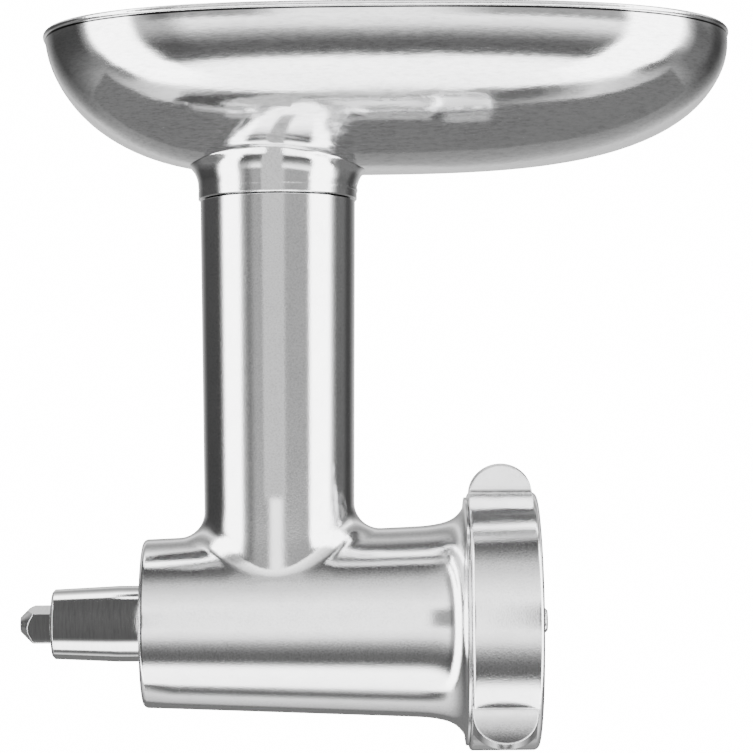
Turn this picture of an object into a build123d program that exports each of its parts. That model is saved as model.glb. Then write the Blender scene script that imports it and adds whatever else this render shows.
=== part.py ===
"""Grinder attachment for a stand mixer: hub spigot, cast housing, feed screw, knife, plate, ring and tray.

The origin is on the barrel's axis, in the rear shoulder that seats on the mixer. +X runs along the
barrel towards the ring and +Z up the feed tube. Sizes are in millimetres.
"""

import math
import os

from build123d import *

# ---------------------------------------------------------------- clearances
RUN_CLEARANCE = 0.05        # radial, round shaft in its bush or plate
SEAT_CLEARANCE = 0.02       # radial, parts fixed to one another
SLIP_CLEARANCE = 0.15       # radial, parts that are put together by hand
THREAD_CLEARANCE = 0.4      # radial, coarse ring thread
SWEEP_CLEARANCE = 0.6       # radial, screw flight inside the casting
AXIAL_GAP = 0.1             # faces that turn against each other
RING_BACK_GAP = 0.3         # ring's rear edge to the housing's lip

# ---------------------------------------------------------------- hub spigot and drive
HUB_LENGTH = 37.0
HUB_ROOT_RADIUS = 15.5
HUB_TIP_RADIUS = 14.2
HUB_LAND = 10.0             # straight length at the root, which centres in the mixer
HUB_TIP_CHAMFER = 1.0
HUB_SEAT_RADIUS = 13.2      # part of the sleeve that is pressed into the housing
HUB_RECESS = 1.5            # sleeve's root let into the rear shoulder
HUB_RELIEF = 0.2            # radial, round the root in its recess
BUSH_WALL = 2.2
BUSH_INSET = 1.2            # bush face inside the sleeve's tip
BUSH_LENGTH = 38.0
SEAL_WIDTH = 4.0
DRIVE_SQUARE = 12.7
DRIVE_CORNER_RADIUS = 8.6   # the square's corners are turned down to this
DRIVE_REACH = 13.2          # square standing out of the hub
DRIVE_POINT_RADIUS = 3.1
DRIVE_TURN = 16.4           # degrees about X at rest
DRIVE_SOCKET = 38.0         # length held inside the screw
CROSS_PIN_RADIUS = 2.0
CROSS_PIN_PLACE = 10.0      # from the screw's rear face
LOCATING_PIN_RADIUS = 2.0
LOCATING_PIN_REACH = 4.0
LOCATING_PIN_OFFSET = 23.0  # from the axis, on the far side
LOCATING_PIN_DEPTH = 5.0

# ---------------------------------------------------------------- housing
REAR_WALL = 8.0
REAR_EDGE_RADIUS = 2.2
BARREL_REAR_RADIUS = 34.4
BARREL_FRONT_RADIUS = 38.9
BARREL_STRAIGHT = 112.0     # where the bell begins
BELL_LENGTH = 19.2
BELL_POINTS = [(0.46, 0.11), (0.79, 0.37), (0.95, 0.72)]   # along and out, as parts of the bell
BELL_RADIUS = 48.4
LIP_THICKNESS = 0.9
LIP_RADIUS = 50.6
BORE_RADIUS = 29.5
BORE_GROOVES = 8
BORE_GROOVE_RADIUS = 1.6
CHAMBER_RADIUS = 37.0
CHAMBER_GAP = 1.5           # chamber in front of and behind the knife
MOUTH_CHAMFER = 0.8

# ---------------------------------------------------------------- feed tube
TUBE_AXIS_X = 55.7
TUBE_TOP = 173.4
TUBE_TOP_RADIUS = 31.9
TUBE_DRAFT = 1.6            # radius lost from the top to the barrel's axis
TUBE_WALL = 4.1
TUBE_BLEND = 10.5
SEAM_HEIGHT = 0.6           # relief round the tube's top edge, under the tray's collar
SEAM_DEPTH = 1.5

# ---------------------------------------------------------------- ring, plate and knife
RING_WIDTH = 28.4
RING_RADIUS = 52.6
RING_LIP = 4.0
RING_OPENING = 36.0
RING_EDGE = 1.5             # rear edge and mouth
RING_FRONT_EDGE = 2.3
THREAD_PITCH = 4.0
THREAD_DEPTH = 1.3
THREAD_CREST = 0.9
THREAD_MAJOR_RADIUS = 47.6
THREAD_TURNS = 3.0
EAR_COUNT = 3
EAR_FIRST = 16.5            # degrees from +Z towards -Y
EAR_DISC_RADIUS = 12.9      # ear's half disc seen from the side
EAR_DISC_PLACE = 13.1       # its centre, from the ring's rear edge
EAR_TIP_RADIUS = 66.15
EAR_TIP_HALF = 1.7          # half width of the tip
EAR_STEEP_WIDTH = 8.2       # reach of the steep side at the ring
EAR_SHOULDER = (3.8, 57.4)  # bend from the ear's flat face to its ramp: sideways and out
EAR_RAMP_ANGLE = 35.0       # degrees that the ear's ramp runs round the ring
EAR_SINK = 1.2              # ends of the ear's curves below the ring's surface
PLATE_RADIUS = 40.7
PLATE_THICKNESS = 6.5
PLATE_INSIDE = 2.5          # depth of the plate in the housing's mouth
PLATE_HOLE_RADIUS = 2.25
PLATE_HOLE_SPACING = 6.6
PLATE_HOLE_FIELD = 33.5     # hole centres lie inside this radius
PLATE_HUB_RADIUS = 10.0     # and outside this one
TAB_WIDTH = 7.0
TAB_REACH = 2.6
TAB_COUNT = 2
KNIFE_THICKNESS = 9.0
KNIFE_HUB_RADIUS = 11.5
KNIFE_BLADES = 4
KNIFE_BLADE_WIDTH = 9.0
KNIFE_BEVEL = 4.0
KNIFE_RADIUS = 34.5

# ---------------------------------------------------------------- feed screw and stud
SCREW_PITCH = 32.0
SCREW_CORE_REAR = 13.0
SCREW_CORE_FRONT = 17.5
SCREW_COLLAR = 6.0          # plain length at each end of the core
FLIGHT_ROOT = 8.0
FLIGHT_TIP = 3.6
FLIGHT_SINK = 3.0           # flight buried in the core
WASHER_RADIUS = 17.0
WASHER_THICKNESS = 2.0
STUD_SQUARE = 12.0
STUD_RADIUS = 4.95
STUD_REACH = 4.3            # beyond the ring's face
STUD_HOLD_RADIUS = 6.0
STUD_HOLD = 20.0
STUD_CHAMFER = 0.8

# ---------------------------------------------------------------- tray
TRAY_REAR = 94.8            # rim's reach behind the feed tube's axis
TRAY_FRONT = 184.8          # and in front of it
TRAY_HALF_WIDTH = 87.5
TRAY_PLAN_POWER = 2.7       # roundness of the rim seen from above
TRAY_RIM = 239.4
TRAY_DEPTH = 54.5
TRAY_FLOOR_PART = 0.985     # part of the depth where the flat floor begins
TRAY_DEPTH_POWER = 1.98
TRAY_REAR_SHAPE = (2.4, 0.02)    # roundness and lean of the rear wall
TRAY_FRONT_SHAPE = (3.6, -0.047)
TRAY_SIDE_SHAPE = (1.9, -0.02)
TRAY_LEVELS = (0.0, 0.12, 0.27, 0.42, 0.56, 0.69, 0.80, 0.88, 0.94, 0.97)
TRAY_POINTS = 48            # points round each level
TRAY_WALL = 1.8
RIM_BEAD_RADIUS = 1.1
RIM_BEAD_OUT = -0.3         # bead's centre outside the rim
RIM_BEAD_DROP = 0.5         # and below it
NECK_OVERHANG = 0.8         # collar outside the feed tube
NECK_BLEND = 9.0
NECK_BLEND_PART = 0.82      # part of the quarter circle that the blend runs through
NECK_STEPS = 9              # levels of the blend
SPIGOT_LENGTH = 22.0
SPIGOT_WALL = 1.9
NECK_EDGE = 0.5

# ---------------------------------------------------------------- places that follow
LIP_BACK = BARREL_STRAIGHT + BELL_LENGTH
RING_BACK = LIP_BACK + LIP_THICKNESS + RING_BACK_GAP
RING_FRONT = RING_BACK + RING_WIDTH
PLATE_FRONT = RING_FRONT - RING_LIP
PLATE_BACK = PLATE_FRONT - PLATE_THICKNESS
MOUTH_END = PLATE_BACK + PLATE_INSIDE
KNIFE_FRONT = PLATE_BACK - AXIAL_GAP
KNIFE_BACK = KNIFE_FRONT - KNIFE_THICKNESS
CHAMBER_BACK = KNIFE_BACK - CHAMBER_GAP
SCREW_REAR = REAR_WALL + WASHER_THICKNESS + AXIAL_GAP
STUD_TIP = RING_FRONT + STUD_REACH
THREAD_LENGTH = THREAD_PITCH * THREAD_TURNS
THREAD_ROOT = THREAD_CREST + THREAD_DEPTH
THREAD_START = MOUTH_END - THREAD_LENGTH - THREAD_ROOT / 2 - MOUTH_CHAMFER
THREAD_MINOR_RADIUS = THREAD_MAJOR_RADIUS - THREAD_DEPTH
RING_BORE = THREAD_MAJOR_RADIUS + THREAD_CLEARANCE
JOURNAL_RADIUS = DRIVE_CORNER_RADIUS + 0.1
BUSH_BORE = JOURNAL_RADIUS + RUN_CLEARANCE
BUSH_RADIUS = BUSH_BORE + BUSH_WALL
BUSH_REAR = -HUB_LENGTH + BUSH_INSET
BUSH_FRONT = BUSH_REAR + BUSH_LENGTH
SEAL_FRONT = BUSH_FRONT + SEAL_WIDTH
MOUTH_BORE = PLATE_RADIUS + SLIP_CLEARANCE
TUBE_FOOT_RADIUS = TUBE_TOP_RADIUS - TUBE_DRAFT
TUBE_BORE = TUBE_TOP_RADIUS - TUBE_WALL
NECK_RADIUS = TUBE_TOP_RADIUS + NECK_OVERHANG
SPIGOT_RADIUS = TUBE_BORE - SLIP_CLEARANCE
THROAT_RADIUS = SPIGOT_RADIUS - SPIGOT_WALL
FLIGHT_RADIUS = BORE_RADIUS - SWEEP_CLEARANCE
TRAY_FLOOR = TRAY_RIM - TRAY_DEPTH * TRAY_FLOOR_PART
EAR_CENTRE_RADIUS = EAR_TIP_RADIUS - EAR_DISC_RADIUS
EAR_MIDDLE = RING_BACK + EAR_DISC_PLACE
EAR_BACK = EAR_MIDDLE - EAR_DISC_RADIUS
EAR_FRONT = EAR_MIDDLE + EAR_DISC_RADIUS

PAST = 1.0                  # how far a cutting tool runs past the face it cuts
BOTTOM = (Align.CENTER, Align.CENTER, Align.MIN)


# ---------------------------------------------------------------- helpers
def across(x):
    """Plane square to the barrel at x, with its own x axis along +Y and y axis along +Z."""
    return Plane(origin=(x, 0, 0), x_dir=(0, 1, 0), z_dir=(1, 0, 0))


def rod(x0, x1, radius, radius_end=None):
    """Round bar or cone along the barrel's axis."""
    if radius_end is None:
        return across(x0) * Cylinder(radius, x1 - x0, align=BOTTOM)
    return across(x0) * Cone(radius, radius_end, x1 - x0, align=BOTTOM)


def post(z0, z1, radius, radius_end=None):
    """Round post or cone along the feed tube's axis."""
    if radius_end is None:
        return Pos(TUBE_AXIS_X, 0, z0) * Cylinder(radius, z1 - z0, align=BOTTOM)
    return Pos(TUBE_AXIS_X, 0, z0) * Cone(radius, radius_end, z1 - z0, align=BOTTOM)


def turned(edges):
    """Solid turned about the barrel's axis from edges drawn in the XZ plane."""
    return revolve(make_face(edges), Axis.X)


def square_bar(x0, x1, size):
    """Square bar along the barrel's axis."""
    return across(x0) * Box(size, size, x1 - x0, align=BOTTOM)


def thread_ridge(start, turns, root_radius, out):
    """Right-hand thread ridge on root_radius; out is 1 for a male thread and -1 for a female one."""
    sink = 0.5
    path = Helix(THREAD_PITCH, THREAD_PITCH * turns, root_radius)
    root = THREAD_ROOT + 2 * sink * (THREAD_ROOT - THREAD_CREST) / (2 * THREAD_DEPTH)
    inner = root_radius - out * sink
    outer = root_radius + out * THREAD_DEPTH
    corners = [
        (inner, 0, -root / 2),
        (outer, 0, -THREAD_CREST / 2),
        (outer, 0, THREAD_CREST / 2),
        (inner, 0, root / 2),
    ]
    section = make_face(Polyline(*corners, close=True))
    ridge = sweep(section, path=path, is_frenet=True)
    return across(start) * ridge


# ---------------------------------------------------------------- housing
def bell_edges():
    """Outer edge of the barrel's front: the bell, from the straight barrel to the lip."""
    rise = BELL_RADIUS - BARREL_FRONT_RADIUS
    points = [(BARREL_STRAIGHT, 0, BARREL_FRONT_RADIUS)]
    for along, out in BELL_POINTS:
        points.append((BARREL_STRAIGHT + BELL_LENGTH * along, 0, BARREL_FRONT_RADIUS + rise * out))
    points.append((LIP_BACK, 0, BELL_RADIUS))
    slope = (BARREL_FRONT_RADIUS - BARREL_REAR_RADIUS) / BARREL_STRAIGHT
    return Spline(*points, tangents=[(1, 0, slope), (0.15, 0, 1)])


def housing():
    """Casting: barrel with bell and lip, threaded mouth and feed tube."""
    edge = REAR_EDGE_RADIUS
    rear_top = BARREL_REAR_RADIUS
    front_lip = LIP_BACK + LIP_THICKNESS
    outline = Curve() + [
        Line((0, 0, 0), (0, 0, rear_top - edge)),
        ThreePointArc(
            (0, 0, rear_top - edge),
            (edge * (1 - math.sqrt(0.5)), 0, rear_top - edge * (1 - math.sqrt(0.5))),
            (edge, 0, rear_top),
        ),
        Line((edge, 0, rear_top), (BARREL_STRAIGHT, 0, BARREL_FRONT_RADIUS)),
        bell_edges(),
        Line((LIP_BACK, 0, BELL_RADIUS), (LIP_BACK, 0, LIP_RADIUS)),
        Line((LIP_BACK, 0, LIP_RADIUS), (front_lip, 0, LIP_RADIUS)),
        Line((front_lip, 0, LIP_RADIUS), (front_lip, 0, THREAD_MINOR_RADIUS)),
        Line((front_lip, 0, THREAD_MINOR_RADIUS), (MOUTH_END, 0, THREAD_MINOR_RADIUS)),
        Line((MOUTH_END, 0, THREAD_MINOR_RADIUS), (MOUTH_END, 0, 0)),
        Line((MOUTH_END, 0, 0), (0, 0, 0)),
    ]
    body = revolve(make_face(outline.edges()), Axis.X)
    body += post(0, TUBE_TOP, TUBE_FOOT_RADIUS, TUBE_TOP_RADIUS)
    blend = []
    for item in body.edges():
        box = item.bounding_box()
        wide = box.size.X > TUBE_FOOT_RADIUS
        if wide and box.min.Z > 0 and box.max.Z < BARREL_FRONT_RADIUS + TUBE_BLEND:
            if box.size.Z > PAST:
                blend.append(item)
    body = fillet(blend, TUBE_BLEND)
    body -= rod(REAR_WALL, BARREL_STRAIGHT, BORE_RADIUS)
    body -= rod(BARREL_STRAIGHT, CHAMBER_BACK, BORE_RADIUS, CHAMBER_RADIUS)
    body -= rod(CHAMBER_BACK, PLATE_BACK, CHAMBER_RADIUS)
    body -= rod(PLATE_BACK, MOUTH_END + PAST, MOUTH_BORE)
    body -= rod(-PAST, REAR_WALL + PAST, HUB_SEAT_RADIUS + SEAT_CLEARANCE)
    body -= rod(-PAST, HUB_RECESS, HUB_ROOT_RADIUS + SEAT_CLEARANCE)
    body -= post(0, TUBE_TOP + PAST, TUBE_BORE)
    seam = post(TUBE_TOP - SEAM_HEIGHT, TUBE_TOP + PAST, TUBE_TOP_RADIUS + PAST)
    body -= seam - post(TUBE_TOP - SEAM_HEIGHT - PAST, TUBE_TOP + 2 * PAST, TUBE_TOP_RADIUS - SEAM_DEPTH)
    for index in range(BORE_GROOVES):
        angle = 360.0 * (index + 0.5) / BORE_GROOVES
        groove = Pos(0, 0, BORE_RADIUS) * rod(REAR_WALL + WASHER_THICKNESS, BARREL_STRAIGHT, BORE_GROOVE_RADIUS)
        body -= Rot(X=angle) * groove
    notch_width = TAB_WIDTH + 2 * SLIP_CLEARANCE
    notch_reach = PLATE_RADIUS + TAB_REACH + SLIP_CLEARANCE
    for index in range(TAB_COUNT):
        notch = across(PLATE_BACK) * Box(notch_reach, notch_width, PLATE_INSIDE + PAST,
                                         align=(Align.MIN, Align.CENTER, Align.MIN))
        body -= Rot(X=360.0 * index / TAB_COUNT) * notch
    pin_hole = Pos(0, LOCATING_PIN_OFFSET, 0) * rod(-PAST, LOCATING_PIN_DEPTH, LOCATING_PIN_RADIUS + SEAT_CLEARANCE)
    body -= pin_hole
    body += thread_ridge(THREAD_START, THREAD_TURNS, THREAD_MINOR_RADIUS, 1)
    return body


def hub_sleeve():
    """Tapered spigot that enters the mixer, with a seat pressed into the housing."""
    body = rod(-HUB_LAND, 0, HUB_ROOT_RADIUS)
    body += rod(0, HUB_RECESS, HUB_ROOT_RADIUS - HUB_RELIEF)
    nose = rod(-HUB_LENGTH, -HUB_LAND, HUB_TIP_RADIUS, HUB_ROOT_RADIUS)
    body += nose
    tip = body.faces().sort_by(Axis.X)[0].edges()
    body = chamfer(tip, HUB_TIP_CHAMFER)
    body += rod(HUB_RECESS, REAR_WALL, HUB_SEAT_RADIUS)
    body -= rod(-HUB_LENGTH - PAST, REAR_WALL + PAST, BUSH_RADIUS + SEAT_CLEARANCE)
    return body


def rear_bush():
    """Plain bearing for the drive shaft."""
    body = rod(BUSH_REAR, BUSH_FRONT, BUSH_RADIUS) - rod(BUSH_REAR - PAST, BUSH_FRONT + PAST, BUSH_BORE)
    return chamfer(body.edges().filter_by(GeomType.CIRCLE), 0.3)


def shaft_seal():
    """Seal ring between the bush and the feed chamber."""
    body = rod(BUSH_FRONT, SEAL_FRONT, BUSH_RADIUS) - rod(BUSH_FRONT - PAST, SEAL_FRONT + PAST, BUSH_BORE)
    groove_middle = (BUSH_RADIUS + BUSH_BORE) / 2
    groove = rod(SEAL_FRONT - SEAL_WIDTH / 2, SEAL_FRONT + PAST, groove_middle + 0.5)
    groove -= rod(BUSH_FRONT, SEAL_FRONT + PAST, groove_middle - 0.5)
    return body - groove


def thrust_washer():
    """Washer that the screw's rear face runs on."""
    rear = REAR_WALL
    front = REAR_WALL + WASHER_THICKNESS
    return rod(rear, front, WASHER_RADIUS) - rod(rear - PAST, front + PAST, BUSH_BORE)


def locating_pin():
    """Dowel in the rear shoulder that stops the housing from turning in the mixer."""
    pin = rod(-LOCATING_PIN_REACH, LOCATING_PIN_DEPTH, LOCATING_PIN_RADIUS)
    pin = chamfer(pin.edges().filter_by(GeomType.CIRCLE), 0.4)
    return Pos(0, LOCATING_PIN_OFFSET, 0) * pin


# ---------------------------------------------------------------- feed screw
def drive_shaft():
    """Shaft: square end for the mixer, round journal in the bush and round end in the screw."""
    rear = -HUB_LENGTH - DRIVE_REACH
    journal = BUSH_REAR
    square = square_bar(rear, journal + PAST, DRIVE_SQUARE)
    square &= rod(rear, journal + PAST, DRIVE_CORNER_RADIUS)
    cone_length = DRIVE_CORNER_RADIUS - DRIVE_POINT_RADIUS
    keep = rod(rear, rear + cone_length, DRIVE_POINT_RADIUS, DRIVE_CORNER_RADIUS)
    keep += rod(rear + cone_length, journal + PAST, DRIVE_CORNER_RADIUS + PAST)
    square &= keep
    body = square + rod(journal, SCREW_REAR + DRIVE_SOCKET, JOURNAL_RADIUS)
    body -= cross_pin_bar(JOURNAL_RADIUS + PAST, CROSS_PIN_RADIUS + SEAT_CLEARANCE)
    return Rot(X=DRIVE_TURN) * body


def cross_pin_bar(half_length, radius):
    """Round bar across the shaft, before the shaft is turned to its rest angle."""
    place = Pos(SCREW_REAR + CROSS_PIN_PLACE, 0, 0)
    return place * Cylinder(radius, 2 * half_length)


def shaft_cross_pin():
    """Pin that ties the shaft to the screw."""
    return Rot(X=DRIVE_TURN) * cross_pin_bar(SCREW_CORE_REAR - PAST, CROSS_PIN_RADIUS)


def feed_worm():
    """Feed screw: tapered core with one helical flight."""
    core = rod(SCREW_REAR, SCREW_REAR + SCREW_COLLAR, SCREW_CORE_REAR)
    core += rod(SCREW_REAR + SCREW_COLLAR, KNIFE_BACK - SCREW_COLLAR, SCREW_CORE_REAR, SCREW_CORE_FRONT)
    core += rod(KNIFE_BACK - SCREW_COLLAR, KNIFE_BACK, SCREW_CORE_FRONT)
    start = SCREW_REAR + FLIGHT_ROOT / 2 + AXIAL_GAP
    length = BARREL_STRAIGHT + SCREW_PITCH / 4 - start
    inner = SCREW_CORE_REAR - FLIGHT_SINK
    path = Helix(SCREW_PITCH, length, FLIGHT_RADIUS)
    corners = [
        (inner, 0, -FLIGHT_ROOT / 2),
        (FLIGHT_RADIUS, 0, -FLIGHT_TIP / 2),
        (FLIGHT_RADIUS, 0, FLIGHT_TIP / 2),
        (inner, 0, FLIGHT_ROOT / 2),
    ]
    section = make_face(Polyline(*corners, close=True))
    flight = across(start) * sweep(section, path=path, is_frenet=True)
    body = core + flight
    body -= rod(SCREW_REAR - PAST, SCREW_REAR + DRIVE_SOCKET, JOURNAL_RADIUS + SEAT_CLEARANCE)
    body -= rod(KNIFE_BACK - STUD_HOLD, KNIFE_BACK + PAST, STUD_HOLD_RADIUS + SEAT_CLEARANCE)
    body -= Rot(X=DRIVE_TURN) * cross_pin_bar(FLIGHT_RADIUS + PAST, CROSS_PIN_RADIUS + SEAT_CLEARANCE)
    return body


def knife_stud():
    """Stud in the screw's front end: round hold, square for the knife, round end in the plate."""
    body = rod(KNIFE_BACK - STUD_HOLD, KNIFE_BACK, STUD_HOLD_RADIUS)
    body += square_bar(KNIFE_BACK, KNIFE_FRONT, STUD_SQUARE)
    body += rod(KNIFE_FRONT, STUD_TIP, STUD_RADIUS)
    tip = body.faces().sort_by(Axis.X)[-1].edges()
    return chamfer(tip, STUD_CHAMFER)


def knife():
    """Cutter with flat front faces on its blades."""
    depth = KNIFE_THICKNESS
    body = rod(KNIFE_BACK, KNIFE_FRONT, KNIFE_HUB_RADIUS)
    half = KNIFE_BLADE_WIDTH / 2
    for index in range(KNIFE_BLADES):
        outline = [
            (0, -half, KNIFE_BACK + 1.5),
            (0, -half, KNIFE_FRONT),
            (0, half, KNIFE_FRONT),
            (0, half - KNIFE_BEVEL / 2, KNIFE_BACK + 1.5),
        ]
        face = make_face(Polyline(*[(x, y, z) for x, y, z in outline], close=True))
        blade = extrude(face, amount=KNIFE_RADIUS, dir=(1, 0, 0))
        placed = across(0) * (Rot(Z=360.0 * index / KNIFE_BLADES) * blade)
        body += placed
    body &= rod(KNIFE_BACK, KNIFE_BACK + depth, KNIFE_RADIUS)
    body -= square_bar(KNIFE_BACK - PAST, KNIFE_FRONT + PAST, STUD_SQUARE + 2 * SLIP_CLEARANCE)
    return body


# ---------------------------------------------------------------- plate and ring
def grinding_plate():
    """Perforated plate with two tabs."""
    body = rod(PLATE_BACK, PLATE_FRONT, PLATE_RADIUS)
    for index in range(TAB_COUNT):
        tab = across(PLATE_BACK) * Box(PLATE_RADIUS + TAB_REACH, TAB_WIDTH, PLATE_INSIDE,
                                       align=(Align.MIN, Align.CENTER, Align.MIN))
        body += Rot(X=360.0 * index / TAB_COUNT) * tab
    spots = []
    rows = int(PLATE_HOLE_FIELD / PLATE_HOLE_SPACING) + 2
    for row in range(-rows, rows + 1):
        for column in range(-rows, rows + 1):
            across_y = PLATE_HOLE_SPACING * (column + 0.5 * (row % 2))
            up_z = PLATE_HOLE_SPACING * math.sqrt(0.75) * row
            distance = math.hypot(across_y, up_z)
            if PLATE_HUB_RADIUS < distance < PLATE_HOLE_FIELD:
                spots.append((across_y, up_z))
    holes = Sketch() + [Pos(y, z) * Circle(PLATE_HOLE_RADIUS) for y, z in spots]
    holes += Circle(STUD_RADIUS + RUN_CLEARANCE)
    return body - extrude(across(PLATE_BACK - PAST) * holes, amount=PLATE_THICKNESS + 2 * PAST)


def ear_blank():
    """Fin with a steep side and a ramp, drawn across the barrel and cut to a half disc."""
    ramp = math.radians(EAR_RAMP_ANGLE)
    foot = RING_RADIUS - EAR_SINK
    ramp_end = (-foot * math.sin(ramp), foot * math.cos(ramp))
    steep = math.asin(EAR_STEEP_WIDTH / foot)
    steep_end = (EAR_STEEP_WIDTH, foot * math.cos(steep))
    inside = RING_BORE + EAR_SINK
    top = EAR_TIP_RADIUS + PAST
    half = EAR_TIP_HALF
    shoulder = (-EAR_SHOULDER[0], EAR_SHOULDER[1])
    edges = Curve() + [
        Line((half, top), (-half, top)),
        Line((-half, top), shoulder),
        Spline(shoulder, ramp_end, tangents=[(-0.4, -1), (-math.cos(ramp), -math.sin(ramp))],
               tangent_scalars=[0.35, 1.2]),
        Line(ramp_end, (-inside * math.sin(ramp), inside * math.cos(ramp))),
        Line((-inside * math.sin(ramp), inside * math.cos(ramp)), (EAR_STEEP_WIDTH, inside * math.cos(steep))),
        Line((EAR_STEEP_WIDTH, inside * math.cos(steep)), steep_end),
        Spline(steep_end, (half, top), tangents=[(-1, math.tan(steep)), (-0.06, 1)],
               tangent_scalars=[0.5, 1.5]),
    ]
    fin = extrude(across(EAR_BACK) * make_face(edges.edges()), amount=EAR_FRONT - EAR_BACK)
    low = RING_BORE
    cut = Curve() + [
        Line((EAR_BACK, 0, low), (EAR_BACK, 0, EAR_CENTRE_RADIUS)),
        ThreePointArc((EAR_BACK, 0, EAR_CENTRE_RADIUS), (EAR_MIDDLE, 0, EAR_TIP_RADIUS),
                      (EAR_FRONT, 0, EAR_CENTRE_RADIUS)),
        Line((EAR_FRONT, 0, EAR_CENTRE_RADIUS), (EAR_FRONT, 0, low)),
        Line((EAR_FRONT, 0, low), (EAR_BACK, 0, low)),
    ]
    return fin & turned(cut.edges())


def locking_ring():
    """Threaded ring with an inward lip that holds the plate, and three ears."""
    body = rod(RING_BACK, RING_FRONT, RING_RADIUS)
    outer = body.edges().filter_by(GeomType.CIRCLE).sort_by(Axis.X)
    body = fillet(outer[0], RING_EDGE)
    front = body.edges().filter_by(GeomType.CIRCLE).sort_by(Axis.X)[-1]
    body = fillet(front, RING_FRONT_EDGE)
    ear = ear_blank()
    for index in range(EAR_COUNT):
        body += Rot(X=EAR_FIRST + 360.0 * index / EAR_COUNT) * ear
    body -= rod(RING_BACK - PAST, PLATE_FRONT, RING_BORE)
    body -= rod(PLATE_FRONT - PAST, RING_FRONT + PAST, RING_OPENING)
    mouth = [item for item in body.edges().filter_by(GeomType.CIRCLE)
             if abs(item.radius - RING_OPENING) < 0.01 and item.center().X > RING_FRONT - 0.01]
    body = chamfer(mouth, RING_EDGE)
    phase = THREAD_START + THREAD_PITCH / 2
    while phase - THREAD_PITCH > RING_BACK + THREAD_ROOT / 2:
        phase -= THREAD_PITCH
    body += thread_ridge(phase, THREAD_TURNS, RING_BORE, -1)
    return body


# ---------------------------------------------------------------- tray
def tray_reach(part, shape):
    """Part of the rim's reach that the bowl still has at a part of its depth."""
    power, lean = shape
    return (1 - part ** TRAY_DEPTH_POWER) ** (1 / power) * (1 - lean * part)


def tray_wall_point(part, reach, shape, inset):
    """Reach and depth of the bowl's wall at a part of its depth, moved inwards by inset."""
    step = 0.004
    low = max(part - step, 0.0)
    high = part + step
    run = reach * (tray_reach(low, shape) - tray_reach(high, shape))
    fall = TRAY_DEPTH * (high - low)
    size = math.hypot(run, fall)
    out = reach * tray_reach(part, shape) - inset * fall / size
    down = TRAY_DEPTH * part - inset * run / size
    return out, down


def tray_curve(rear, front, side, height, shift):
    """Closed curve round the bowl at one height, its first point shifted round by some points."""
    middle = TUBE_AXIS_X + (front - rear) / 2
    half = (front + rear) / 2
    points = []
    for index in range(TRAY_POINTS):
        angle = 2 * math.pi * (index + shift) / TRAY_POINTS
        cosine = math.cos(angle)
        sine = math.sin(angle)
        x = math.copysign(abs(cosine) ** (2 / TRAY_PLAN_POWER), cosine)
        y = math.copysign(abs(sine) ** (2 / TRAY_PLAN_POWER), sine)
        points.append((middle + half * x, side * y, height))
    return Spline(*points, periodic=True)


def tray_solid(inset):
    """Bowl filled to the rim, its wall moved inwards by inset."""
    levels = list(TRAY_LEVELS) + [TRAY_FLOOR_PART]
    sections = []
    for part in levels:
        rear, rear_down = tray_wall_point(part, TRAY_REAR, TRAY_REAR_SHAPE, inset)
        front, front_down = tray_wall_point(part, TRAY_FRONT, TRAY_FRONT_SHAPE, inset)
        side, side_down = tray_wall_point(part, TRAY_HALF_WIDTH, TRAY_SIDE_SHAPE, inset)
        down = (rear_down + front_down + 2 * side_down) / 4
        if part == 0.0:
            down = 0.0
        sections.append(make_face(tray_curve(rear, front, side, TRAY_RIM - down, 0)))
    return loft(sections)


def tray_pan(filled):
    """Bowl with a rolled rim and a hole over the feed tube."""
    body = filled - tray_solid(TRAY_WALL)
    body -= post(TRAY_FLOOR - PAST, TRAY_RIM, THROAT_RADIUS)
    out = RIM_BEAD_OUT
    height = TRAY_RIM - RIM_BEAD_DROP
    path = tray_curve(TRAY_REAR + out, TRAY_FRONT + out, TRAY_HALF_WIDTH + out, height, TRAY_POINTS // 4)
    section = Plane(origin=path @ 0, z_dir=path % 0) * Circle(RIM_BEAD_RADIUS)
    return body + sweep(section, path=path)


def underside_height(x, y):
    """Height of the bowl's underside above a point of the plan."""
    low = 0.0
    high = TRAY_FLOOR_PART
    for _ in range(40):
        part = (low + high) / 2
        rear = TRAY_REAR * tray_reach(part, TRAY_REAR_SHAPE)
        front = TRAY_FRONT * tray_reach(part, TRAY_FRONT_SHAPE)
        side = TRAY_HALF_WIDTH * tray_reach(part, TRAY_SIDE_SHAPE)
        along = abs(x - TUBE_AXIS_X - (front - rear) / 2) / ((front + rear) / 2)
        out = abs(y) / side
        if along ** TRAY_PLAN_POWER + out ** TRAY_PLAN_POWER < 1:
            low = part
        else:
            high = part
    return TRAY_RIM - TRAY_DEPTH * low


def neck_level(height):
    """Outline of the collar at one height: round, and wider close under the bowl."""
    points = []
    for index in range(TRAY_POINTS):
        angle = 2 * math.pi * index / TRAY_POINTS
        reach = NECK_RADIUS + NECK_BLEND / 3
        x = reach * math.cos(angle)
        y = reach * math.sin(angle)
        below = underside_height(TUBE_AXIS_X + x, y) - height
        rest = NECK_BLEND_PART * (NECK_BLEND - min(max(below, 0.0), NECK_BLEND))
        radius = NECK_RADIUS + NECK_BLEND - math.sqrt(NECK_BLEND ** 2 - rest ** 2)
        points.append((TUBE_AXIS_X + radius * math.cos(angle), radius * math.sin(angle), height))
    return make_face(Spline(*points, periodic=True))


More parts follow.
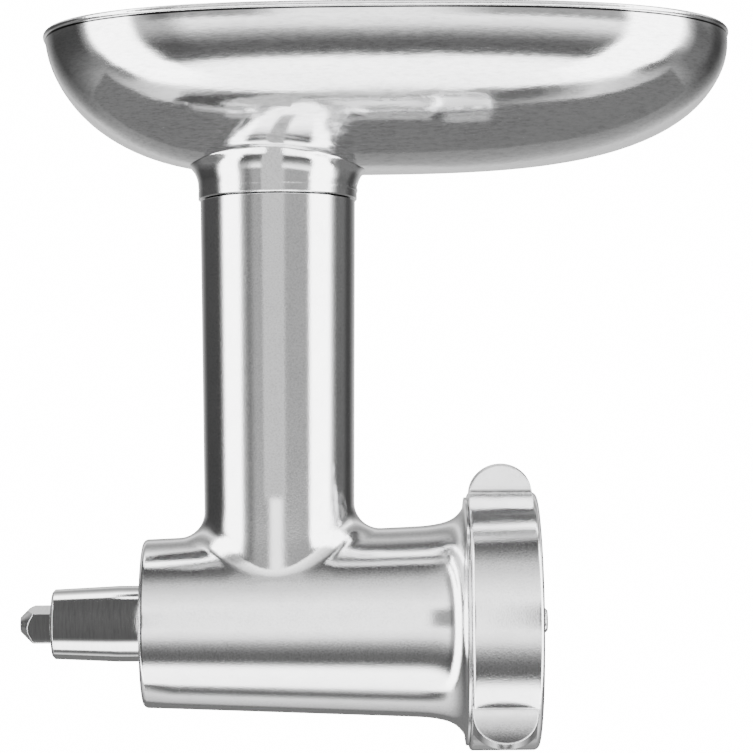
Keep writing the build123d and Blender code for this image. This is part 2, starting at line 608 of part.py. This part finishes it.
def tray_neck(filled):
    """Collar under the bowl with a spigot that slips into the feed tube."""
    low = TRAY_FLOOR - NECK_BLEND
    high = underside_height(TUBE_AXIS_X, NECK_RADIUS + NECK_BLEND)
    steps = NECK_STEPS
    levels = [neck_level(low + (high - low) * index / steps) for index in range(steps + 1)]
    body = loft(levels) - filled
    body += extrude(neck_level(low), amount=low - TUBE_TOP, dir=(0, 0, -1))
    body = chamfer(body.faces().sort_by(Axis.Z)[0].edges(), NECK_EDGE)
    body += post(TUBE_TOP - SPIGOT_LENGTH, TUBE_TOP + PAST, SPIGOT_RADIUS)
    body -= post(TUBE_TOP - SPIGOT_LENGTH - PAST, TRAY_RIM, THROAT_RADIUS)
    return body


# ---------------------------------------------------------------- files
def save(name, shape):
    """One closed solid to one STEP file."""
    solids = shape.solids()
    if len(solids) != 1:
        raise ValueError(f"{name}: {len(solids)} solids")
    solid = solids[0]
    solid.label = name
    if not solid.is_valid:
        raise ValueError(f"{name}: not a valid solid")
    export_step(solid, f"parts/{name}.step")
    print(f"{name}: {solid.volume / 1000:.2f} cm3")


os.makedirs("parts", exist_ok=True)
bowl = tray_solid(0.0)
save("grinder_housing", housing())
save("hub_sleeve", hub_sleeve())
save("rear_bush", rear_bush())
save("shaft_seal", shaft_seal())
save("thrust_washer", thrust_washer())
save("locating_pin", locating_pin())
save("feed_worm", feed_worm())
save("drive_shaft", drive_shaft())
save("shaft_cross_pin", shaft_cross_pin())
save("knife_stud", knife_stud())
save("knife", knife())
save("grinding_plate", grinding_plate())
save("locking_ring", locking_ring())
save("tray_pan", tray_pan(bowl))
save("tray_neck", tray_neck(bowl))
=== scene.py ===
# %% [markdown]
# The grinder attachment is cast, turned and pressed metal, so nearly everything seen on it is a
# reflection. This script loads the engineering model as a fixed frame, puts a camera in front of it,
# builds a studio of light panels round it, and then gives every piece a smooth surface and a metal
# finish.

# %% Load the frame
import math

import bmesh
import bpy
from mathutils import Matrix, Vector


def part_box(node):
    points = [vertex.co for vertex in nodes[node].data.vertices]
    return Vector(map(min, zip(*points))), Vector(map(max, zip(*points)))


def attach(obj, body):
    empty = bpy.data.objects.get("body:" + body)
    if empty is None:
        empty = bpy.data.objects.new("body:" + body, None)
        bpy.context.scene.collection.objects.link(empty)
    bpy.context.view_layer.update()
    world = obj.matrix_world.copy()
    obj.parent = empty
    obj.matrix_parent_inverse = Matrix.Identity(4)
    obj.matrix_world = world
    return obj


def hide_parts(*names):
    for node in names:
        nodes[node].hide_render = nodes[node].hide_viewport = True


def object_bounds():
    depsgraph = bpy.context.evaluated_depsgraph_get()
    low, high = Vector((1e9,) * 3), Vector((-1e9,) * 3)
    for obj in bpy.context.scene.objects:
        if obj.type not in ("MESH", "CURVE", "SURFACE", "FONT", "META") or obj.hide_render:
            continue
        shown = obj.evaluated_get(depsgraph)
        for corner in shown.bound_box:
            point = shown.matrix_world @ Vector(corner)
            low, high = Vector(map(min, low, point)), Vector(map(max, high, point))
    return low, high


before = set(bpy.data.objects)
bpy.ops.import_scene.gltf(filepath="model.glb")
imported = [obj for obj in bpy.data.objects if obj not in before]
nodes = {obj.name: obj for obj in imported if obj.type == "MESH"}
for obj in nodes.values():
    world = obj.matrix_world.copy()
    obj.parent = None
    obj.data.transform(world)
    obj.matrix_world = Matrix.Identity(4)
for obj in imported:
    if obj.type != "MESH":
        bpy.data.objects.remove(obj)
cad_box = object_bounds()
print("nodes:", sorted(nodes))

# %% [markdown]
# The camera stands well back with a long lens, as for a catalogue picture, so the barrel's ends
# hardly converge. It looks slightly upwards: the tray's underside shows and its inside doesn't.

# %% Place the camera
AIM_ALONG_BARREL = 0.0959
AIM_BELOW_TUBE_TOP = 0.0729
YAW = math.radians(0.44)
PITCH = math.radians(3.45)
ROLL = math.radians(-0.45)
DISTANCE = 1.146
SENSOR_WIDTH = 36.0
FOCAL_LENGTH = 133.2

barrel_low, barrel_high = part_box("grinder_housing")
aim = Vector((barrel_low.x + AIM_ALONG_BARREL, 0.0, barrel_high.z - AIM_BELOW_TUBE_TOP))
ahead = Vector((math.sin(YAW) * math.cos(PITCH), math.cos(YAW) * math.cos(PITCH), math.sin(PITCH)))
level = Vector((math.cos(YAW), -math.sin(YAW), 0.0))
upright = level.cross(ahead)
right = level * math.cos(ROLL) + upright * math.sin(ROLL)
up = upright * math.cos(ROLL) - level * math.sin(ROLL)
camera_data = bpy.data.cameras.new("studio_camera")
camera_data.sensor_width = SENSOR_WIDTH
camera_data.lens = FOCAL_LENGTH
camera_data.clip_end = 50.0
camera = bpy.data.objects.new("studio_camera", camera_data)
bpy.context.scene.collection.objects.link(camera)
turn = Matrix((right, up, -ahead)).transposed().to_4x4()
camera.matrix_world = Matrix.Translation(aim - ahead * DISTANCE) @ turn
bpy.context.scene.camera = camera
print("camera at", tuple(round(v, 3) for v in camera.matrix_world.translation))

# %% [markdown]
# A finish is easier to read when its maths is written as maths. This small class holds one socket of
# a node tree; adding, subtracting or multiplying two of them puts down the Math nodes.

# %% A class for shader maths
class Value:
    def __init__(self, tree, socket):
        self.tree = tree
        self.socket = socket

    def math(self, operation, *others, clamp=False):
        node = self.tree.nodes.new("ShaderNodeMath")
        node.operation = operation
        node.use_clamp = clamp
        for index, item in enumerate((self, *others)):
            put(self.tree, node.inputs[index], item)
        return Value(self.tree, node.outputs[0])

    def __add__(self, other):
        return self.math("ADD", other)

    __radd__ = __add__

    def __mul__(self, other):
        return self.math("MULTIPLY", other)

    __rmul__ = __mul__

    def __sub__(self, other):
        return self.math("SUBTRACT", other)

    def __rsub__(self, other):
        return (self * -1.0) + other

    def __truediv__(self, other):
        return self.math("DIVIDE", other)

    def band(self, low, high, soft):
        """1 between low and high, falling to 0 over soft at each end."""
        rise = ((self - low) / soft + 0.5).math("ADD", 0.0, clamp=True)
        fall = ((high - self) / soft + 0.5).math("ADD", 0.0, clamp=True)
        return rise * fall

    def output(self, index):
        """Another output of the node that this value comes from."""
        return Value(self.tree, self.socket.node.outputs[index])


print("shader maths ready")

# %% [markdown]
# Every other node is put down by one function, which takes the node's type, its settings and the
# values or links of its sockets. A ramp's stops are one of the settings.

# %% A function for every other node
def put(tree, socket, item):
    """Sets a socket to a number or colour, or links it to a value."""
    if isinstance(item, Value):
        tree.links.new(item.socket, socket)
    else:
        socket.default_value = item


def set_stops(ramp, points):
    while len(ramp.elements) > 1:
        ramp.elements.remove(ramp.elements[-1])
    for index, (place, tone) in enumerate(points):
        stop = ramp.elements[0] if index == 0 else ramp.elements.new(place)
        stop.position = place
        stop.color = (*tone, 1.0) if isinstance(tone, tuple) else (tone, tone, tone, 1.0)


def add(tree, kind, settings=None, inputs=None, out=0):
    node = tree.nodes.new(kind)
    for name, item in (settings or {}).items():
        if name == "stops":
            set_stops(node.color_ramp, item)
        else:
            setattr(node, name, item)
    for name, item in (inputs or {}).items():
        put(tree, node.inputs[name], item)
    return Value(tree, node.outputs[out]) if node.outputs else None


print("nodes ready")

# %% [markdown]
# Polished metal has no colour of its own to show; it shows the room. A studio for it is a set of
# white panels with dark gaps. Here the room is the world itself: a tone for every direction, written
# as it should read in the picture, from 0 for black to 1 for white. Going up from the floor in
# front there is a bright strip, a dark gap, a wide soft panel, a dark bar and a bright roof. What
# lies behind the sides is mostly dark.

# %% Write down the room's tones
FRONT = [
    (-90, 0.87), (-84, 0.92), (-62, 0.93), (-57, 0.90), (-53, 0.72), (-49.5, 0.46), (-44, 0.40),
    (-38, 0.43), (-32, 0.54), (-25, 0.71), (-18, 0.84), (-8, 0.875), (24, 0.87), (38, 0.83),
    (53, 0.76), (60, 0.64), (67, 0.45), (74, 0.32), (79, 0.36), (84, 0.55), (87, 0.76), (90, 0.86),
]
BACK = [
    (-90, 0.86), (-85, 0.76), (-80, 0.44), (-76, 0.42), (-71, 0.70), (-66, 0.82), (-51, 0.74),
    (-36, 0.60), (-24, 0.42), (-12, 0.28), (0, 0.25), (12, 0.32), (24, 0.70), (30, 0.82), (38, 0.70),
    (47, 0.60), (56, 0.70), (64, 0.82), (71, 0.93), (82, 0.93), (90, 0.86),
]


def stops(table):
    """Ramp stops from (degrees above the horizon, tone)."""
    return [((angle + 90.0) / 180.0, tone) for angle, tone in table]


print("tones:", len(FRONT), "in front,", len(BACK), "behind")

# %% [markdown]
# Some directions differ from that rule. Each row below is a patch of the room: from, to and softness
# in degrees round the room, where 0 is the camera and right is positive, the same up the wall, and
# how much lighter or darker the patch is. Both sides of the camera are dim, a gap comes before the left
# panel, a weak glow lies past the right one, and a stronger one lies low behind the grinder. The two
# side panels reach almost from the floor to the roof.

# %% Write down the patches
ROUND = 400.0
LEVEL = (-4.0, 14.0, 6.0)
LOW = (-22.0, 14.0, 22.0)
PATCHES = [
    ("left of the camera", (-48.0, -14.0, 8.0), LEVEL, -0.23),
    ("right of the camera", (8.0, 50.0, 10.0), LEVEL, -0.23),
    ("low behind on the right", (148.0, ROUND, 24.0), LOW, 0.48),
    ("low behind on the left", (-ROUND, -148.0, 24.0), LOW, 0.48),
    ("past the right panel", (92.0, 122.0, 10.0), (-20.0, 30.0, 14.0), 0.15),
    ("before the left panel", (-57.0, -38.0, 8.0), (-40.0, 50.0, 16.0), -0.16),
]
BEHIND = (93.0, ROUND, 12.0)
LEFT_PANEL = (-88.0, -56.0, 5.0)
RIGHT_PANEL = (49.0, 85.0, 5.0)
PANEL_HEIGHT = (-70.0, 60.0, 12.0)
PANEL_TONE = 0.95
print("patches:", [name for name, *_ in PATCHES])

# %% [markdown]
# Film rolls off bright light: a tone near white takes many times the light of a middle grey. The last
# ramp turns each tone into the light that it needs. Straight camera rays see plain white.

# %% Write down the film's response
RESPONSE = [
    (0.0, 0.0), (0.07, 0.01), (0.125, 0.02), (0.17, 0.03), (0.227, 0.05), (0.275, 0.07), (0.337, 0.10),
    (0.41, 0.14), (0.463, 0.18), (0.533, 0.25), (0.60, 0.35), (0.667, 0.50), (0.718, 0.70), (0.769, 1.0),
    (0.812, 1.4), (0.851, 2.0), (0.882, 2.8), (0.914, 4.0), (0.941, 5.6), (0.961, 8.0), (0.976, 11.0),
    (1.0, 16.0),
]
WHITE_LIGHT = 16.0
ROOM_LIGHT = 18.5
response = [(tone, light / WHITE_LIGHT) for tone, light in RESPONSE]
print("response:", len(response), "stops")

# %% Build the studio's light
world = bpy.data.worlds.new("studio")
bpy.context.scene.world = world
world.use_nodes = True
room = world.node_tree
room.nodes.clear()
direction = add(room, "ShaderNodeTexCoord", out=0)
east = add(room, "ShaderNodeSeparateXYZ", {}, {"Vector": direction})
north = east.output(1)
high = east.output(2)
height = high.math("ARCSINE") * (180.0 / math.pi)
bearing = east.math("ARCTAN2", north * -1.0) * (180.0 / math.pi)
spread = height / 180.0 + 0.5
front_tone = add(room, "ShaderNodeValToRGB", {"stops": stops(FRONT)}, {"Fac": spread})
back_tone = add(room, "ShaderNodeValToRGB", {"stops": stops(BACK)}, {"Fac": spread})
behind = bearing.math("ABSOLUTE").band(*BEHIND)
tone = front_tone + (back_tone - front_tone) * behind
for name, across, above, change in PATCHES:
    tone = tone + bearing.band(*across) * height.band(*above) * change
panels = (bearing.band(*LEFT_PANEL) + bearing.band(*RIGHT_PANEL)) * height.band(*PANEL_HEIGHT)
tone = tone * (1.0 - panels) + panels * PANEL_TONE
light = add(room, "ShaderNodeValToRGB", {"stops": response}, {"Fac": tone}) * ROOM_LIGHT
seen = add(room, "ShaderNodeLightPath", out=0)
light = light * (1.0 - seen) + seen * WHITE_LIGHT
shine = add(room, "ShaderNodeBackground", {}, {"Color": light})
add(room, "ShaderNodeOutputWorld", {}, {"Surface": shine})
print("studio light:", len(room.nodes), "nodes")

# %% [markdown]
# The floor is a plain pale disc well below the attachment, which hangs in the air here as it does
# when it is plugged into a mixer. It is left out of the reflections, where it would hide the low strip.

# %% Lay the floor
FLOOR_RADIUS = 2.0
FLOOR_DROP = 0.30
FLOOR_TONE = 0.85


def studio_disc(name, radius, height_z, tone_value):
    shape = bmesh.new()
    bmesh.ops.create_circle(shape, cap_ends=True, segments=96, radius=radius)
    bmesh.ops.translate(shape, verts=shape.verts, vec=(aim.x, 0.0, height_z))
    data = bpy.data.meshes.new(name)
    shape.to_mesh(data)
    shape.free()
    disc = bpy.data.objects.new(name, data)
    bpy.context.scene.collection.objects.link(disc)
    paint = bpy.data.materials.new(name)
    paint.use_nodes = True
    skin = paint.node_tree.nodes["Principled BSDF"]
    skin.inputs["Base Color"].default_value = (tone_value, tone_value, tone_value, 1.0)
    skin.inputs["Roughness"].default_value = 0.8
    data.materials.append(paint)
    return disc


floor = studio_disc("studio_floor", FLOOR_RADIUS, cad_box[0][2] - FLOOR_DROP, FLOOR_TONE)
floor.visible_glossy = False
print("floor at", round(cad_box[0][2] - FLOOR_DROP, 3))

# %% [markdown]
# Three grey cards shape the reflections further, as a photographer's cards do just outside the frame.
# A card only glows: it throws no shadow, lights nothing and is seen in reflections alone.

# %% A function for a card
def card(name, shape, tone_value):
    data = bpy.data.meshes.new(name)
    shape.to_mesh(data)
    shape.free()
    sheet = bpy.data.objects.new(name, data)
    bpy.context.scene.collection.objects.link(sheet)
    paint = bpy.data.materials.new(name)
    paint.use_nodes = True
    skin = paint.node_tree.nodes["Principled BSDF"]
    skin.inputs["Base Color"].default_value = (0.0, 0.0, 0.0, 1.0)
    skin.inputs["Roughness"].default_value = 1.0
    skin.inputs["Specular IOR Level"].default_value = 0.0
    skin.inputs["Emission Color"].default_value = (1.0, 1.0, 1.0, 1.0)
    skin.inputs["Emission Strength"].default_value = tone_value
    data.materials.append(paint)
    sheet.visible_camera = False
    sheet.visible_diffuse = False
    sheet.visible_shadow = False
    return sheet


print("card maker ready")

# %% [markdown]
# The first card lies under the back of the grinder, where the tray's round underside looks down and
# back.

# %% Lay the card under the grinder
UNDER_LENGTH = 0.9
UNDER_WIDTH = 0.315
UNDER_BACK = 0.1725
UNDER_DROP = 0.010
UNDER_GLOW = 0.22

shape = bmesh.new()
bmesh.ops.create_grid(shape, x_segments=1, y_segments=1, size=0.5)
bmesh.ops.scale(shape, verts=shape.verts, vec=(UNDER_LENGTH, UNDER_WIDTH, 1.0))
bmesh.ops.translate(shape, verts=shape.verts, vec=(aim.x, UNDER_BACK, cad_box[0][2] - UNDER_DROP))
under_card = card("under_card", shape, UNDER_GLOW)
print(under_card.name, len(under_card.data.polygons), "faces")

# %% [markdown]
# The second is bent round the front of the hub spigot, whose middle reads much darker than the
# barrel's.

# %% Bend a card round the hub spigot
HUB_CARD_RADIUS = 0.045
HUB_CARD_PAST_TIP = 0.016
HUB_CARD_OFF_BARREL = 0.004
HUB_CARD_ARC = math.radians(-108.0)
HUB_CARD_TURN = Matrix.Rotation(math.radians(38.0), 3, "X")
HUB_CARD_GLOW = 0.12

hub_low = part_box("hub_sleeve")[0]
shape = bmesh.new()
tip = shape.verts.new((hub_low.x - HUB_CARD_PAST_TIP, -HUB_CARD_RADIUS, 0.0))
root = shape.verts.new((barrel_low.x - HUB_CARD_OFF_BARREL, -HUB_CARD_RADIUS, 0.0))
side = shape.edges.new((tip, root))
bmesh.ops.spin(
    shape, geom=[tip, root, side], cent=(0, 0, 0), axis=(1, 0, 0), angle=HUB_CARD_ARC, steps=24
)
bmesh.ops.rotate(shape, verts=shape.verts, cent=(0, 0, 0), matrix=HUB_CARD_TURN)
hub_card = card("hub_card", shape, HUB_CARD_GLOW)
print(hub_card.name, len(hub_card.data.polygons), "faces")

# %% [markdown]
# The last is a narrow strip before the feed tube. It keeps the tube's middle grey, where the room's
# wide panel would put a second white stripe.

# %% Stand a strip before the feed tube
STRIP_LEFT_OF_AXIS = 0.017
STRIP_WIDTH = 0.023
STRIP_FOOT = 0.050
STRIP_TOP = 0.192
STRIP_FORWARD = 0.060
STRIP_GLOW = 0.97

neck_low, neck_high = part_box("tray_neck")
strip_left = (neck_low.x + neck_high.x) / 2.0 - STRIP_LEFT_OF_AXIS
strip_right = strip_left + STRIP_WIDTH
corners = [
    (strip_left, STRIP_FOOT), (strip_right, STRIP_FOOT), (strip_right, STRIP_TOP), (strip_left, STRIP_TOP),
]
shape = bmesh.new()
shape.faces.new([shape.verts.new((x, -STRIP_FORWARD, z)) for x, z in corners])
tube_card = card("tube_card", shape, STRIP_GLOW)
print(tube_card.name, len(tube_card.data.polygons), "face")

# %% [markdown]
# The castings are tumbled and polished, which leaves a soft shine over a fine, even grain. Pressed
# steel is brushed round its form instead, so its grain is drawn out into short streaks. One recipe
# serves every metal. The tone is mottled by the grain, the roughness follows a slower cloud, and the
# same grain is the bump. Cut edges are never knife sharp, so a Bevel node rounds the light along them
# by a few tenths of a millimetre. Only the numbers differ.

# %% A recipe for metal
EDGE_SAMPLES = 6
CLOUD_SCALE = 45.0
BROAD_SIZE = 9.0
BUMP_DEPTH = 0.0002
# The colour and soft edge of a band of painted shade that the recipe can colour in between two heights.
PAINTED_SHADE_COLOR = (0.02, 0.02, 0.02, 1.0)
PAINTED_SHADE_SOFTNESS = 0.0002


def noise(tree, place, scale, detail, **more):
    return add(tree, "ShaderNodeTexNoise", {}, {"Vector": place, "Scale": scale, "Detail": detail, **more})


def metal(
    name, color, roughness, cloud=0.04, grain=0.2, grain_scale=1300.0, mottle=0.06,
    stretch=(1.0, 1.0, 1.0), edge=0.0004, painted_shade_band=None,
):
    paint = bpy.data.materials.new(name)
    paint.use_nodes = True
    tree = paint.node_tree
    skin = tree.nodes["Principled BSDF"]
    place = add(tree, "ShaderNodeTexCoord", out=3)
    drawn = add(tree, "ShaderNodeMapping", {}, {"Vector": place, "Scale": stretch})
    slow = noise(tree, place, CLOUD_SCALE, 4.0, Roughness=0.6)
    fine = noise(tree, drawn, grain_scale, 3.0, Roughness=0.7)
    broad = noise(tree, drawn, grain_scale / BROAD_SIZE, 2.0)
    mixed = fine * 0.8 + broad * 0.2
    dark = tuple(c * (1.0 - 2.0 * mottle) for c in color)
    light = tuple(min(1.0, c * (1.0 + mottle)) for c in color)
    mottling = [(0.32, dark), (0.5, color), (0.66, light)]
    tones = add(tree, "ShaderNodeValToRGB", {"stops": mottling}, {"Fac": mixed})
    # Painted shade: the base colour turns near black between two heights, standing in for shadow in a seam
    # or under a rim.
    if painted_shade_band is not None:
        low, high = painted_shade_band
        level_z = add(tree, "ShaderNodeSeparateXYZ", {}, {"Vector": place}, out=2)
        shade = level_z.band(low, high, PAINTED_SHADE_SOFTNESS)
        tones = add(tree, "ShaderNodeMix", {"data_type": "RGBA"}, {0: shade, 6: tones, 7: PAINTED_SHADE_COLOR}, out=2)
    put(tree, skin.inputs["Base Color"], tones)
    put(tree, skin.inputs["Roughness"], (slow - 0.5) * (2.0 * cloud) + roughness)
    skin.inputs["Metallic"].default_value = 1.0
    rounded = add(tree, "ShaderNodeBevel", {"samples": EDGE_SAMPLES}, {"Radius": edge})
    relief = {"Strength": grain, "Distance": BUMP_DEPTH, "Height": mixed, "Normal": rounded}
    put(tree, skin.inputs["Normal"], add(tree, "ShaderNodeBump", {}, relief))
    return paint


print("metal recipe ready")

# %% [markdown]
# A black line of painted shade is coloured into the relief round the top of the feed tube, under the
# collar, and another into the corner under the tray's rim. Everything else gets its own shine: the
# hub and shaft are turned bright, the knife and plate are ground, and the bush is open-grained bronze.

# %% Metals of this grinder
CASTING = (0.86, 0.86, 0.865)
WORM_CASTING = (0.80, 0.80, 0.805)
PRESSED_STEEL = (0.84, 0.84, 0.845)
TURNED_STEEL = (0.86, 0.86, 0.86)
TOOL_STEEL = (0.62, 0.62, 0.63)
BRONZE = (0.72, 0.52, 0.30)

seam_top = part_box("grinder_housing")[1].z
rim_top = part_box("tray_pan")[1].z
# The cast alloy carries a painted shadow line in the relief round the top of the feed tube, under the
# collar.
cast_alloy = metal(
    "cast_alloy_satin", CASTING, 0.09, cloud=0.03, grain=0.16, mottle=0.09,
    painted_shade_band=(seam_top - 0.0006, seam_top + 0.001),
)
collar_alloy = metal("collar_alloy_satin", CASTING, 0.09, cloud=0.03, grain=0.14, mottle=0.09)
ring_alloy = metal(
    "ring_alloy_satin", CASTING, 0.10, cloud=0.03, grain=0.22, mottle=0.10, edge=0.0007,
)
screw_alloy = metal("screw_alloy_tumbled", WORM_CASTING, 0.24, grain=0.3)
# The tray steel carries a painted shadow line in the corner under its rolled rim.
tray_steel = metal(
    "tray_steel_brushed", PRESSED_STEEL, 0.09, cloud=0.03, grain=0.12, mottle=0.11,
    stretch=(0.2, 0.2, 1.0), painted_shade_band=(rim_top - 0.0031, rim_top - 0.0024),
)
bright_steel = metal(
    "bright_turned_steel", TURNED_STEEL, 0.09, cloud=0.02, grain=0.1, stretch=(1.0, 0.1, 0.1),
)
tool_steel = metal("ground_tool_steel", TOOL_STEEL, 0.24, grain=0.25, stretch=(1.0, 0.15, 1.0))
bronze = metal("sintered_bronze", BRONZE, 0.3, grain=0.4)
print("metals ready")

# %% Seal rubber
seal_rubber = bpy.data.materials.new("seal_rubber")
seal_rubber.use_nodes = True
tree = seal_rubber.node_tree
skin = tree.nodes["Principled BSDF"]
place = add(tree, "ShaderNodeTexCoord", out=3)
dust = noise(tree, place, 600.0, 3.0)
black = add(tree, "ShaderNodeValToRGB", {"stops": [(0.3, 0.02), (0.7, 0.04)]}, {"Fac": dust})
put(tree, skin.inputs["Base Color"], black)
put(tree, skin.inputs["Roughness"], dust * 0.2 + 0.5)
print("rubber ready")

# %% [markdown]
# The engineering model arrives as loose triangles, which would break a reflection into facets. A copy
# with its doubled corners merged can be shaded smoothly, except across real edges, where the angle
# between faces is large. The copy stands for the node and rides on the same body.

# %% Smooth copies of the turned and cast pieces
FINISH = {
    "grinder_housing": ("housing", cast_alloy, "cast_alloy"),
    "hub_sleeve": ("housing", bright_steel, "bright_steel"),
    "rear_bush": ("housing", bronze, "bronze"),
    "shaft_seal": ("housing", seal_rubber, "seal_rubber"),
    "thrust_washer": ("housing", bronze, "bronze"),
    "locating_pin": ("housing", bright_steel, "bright_steel"),
    "feed_worm": ("worm", screw_alloy, "cast_alloy"),
    "drive_shaft": ("worm", bright_steel, "bright_steel"),
    "shaft_cross_pin": ("worm", bright_steel, "bright_steel"),
    "knife_stud": ("worm", bright_steel, "bright_steel"),
    "knife": ("worm", tool_steel, "tool_steel"),
    "grinding_plate": ("plate", tool_steel, "tool_steel"),
    "locking_ring": ("ring", ring_alloy, "cast_alloy"),
    "tray_pan": ("tray", tray_steel, "stainless"),
    "tray_neck": ("tray", collar_alloy, "cast_alloy"),
}
MERGE_DISTANCE = 2e-6
SHARP_ANGLE = math.radians(28.0)


def smooth_copy(node, body, paint):
    source = nodes[node]
    shape = bmesh.new()
    shape.from_mesh(source.data)
    bmesh.ops.remove_doubles(shape, verts=shape.verts, dist=MERGE_DISTANCE)
    for face in shape.faces:
        face.smooth = True
    for edge in shape.edges:
        if len(edge.link_faces) == 2 and edge.calc_face_angle(0.0) > SHARP_ANGLE:
            edge.smooth = False
    data = bpy.data.meshes.new(f"{node}_skin")
    shape.to_mesh(data)
    shape.free()
    data.materials.clear()
    data.materials.append(paint)
    piece = bpy.data.objects.new(f"{node}_skin", data)
    bpy.context.scene.collection.objects.link(piece)
    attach(piece, body)
    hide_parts(node)
    return piece


for node, (body, paint, slot_name) in FINISH.items():
    piece = smooth_copy(node, body, paint)
    print(piece.name, len(piece.data.polygons), "faces")
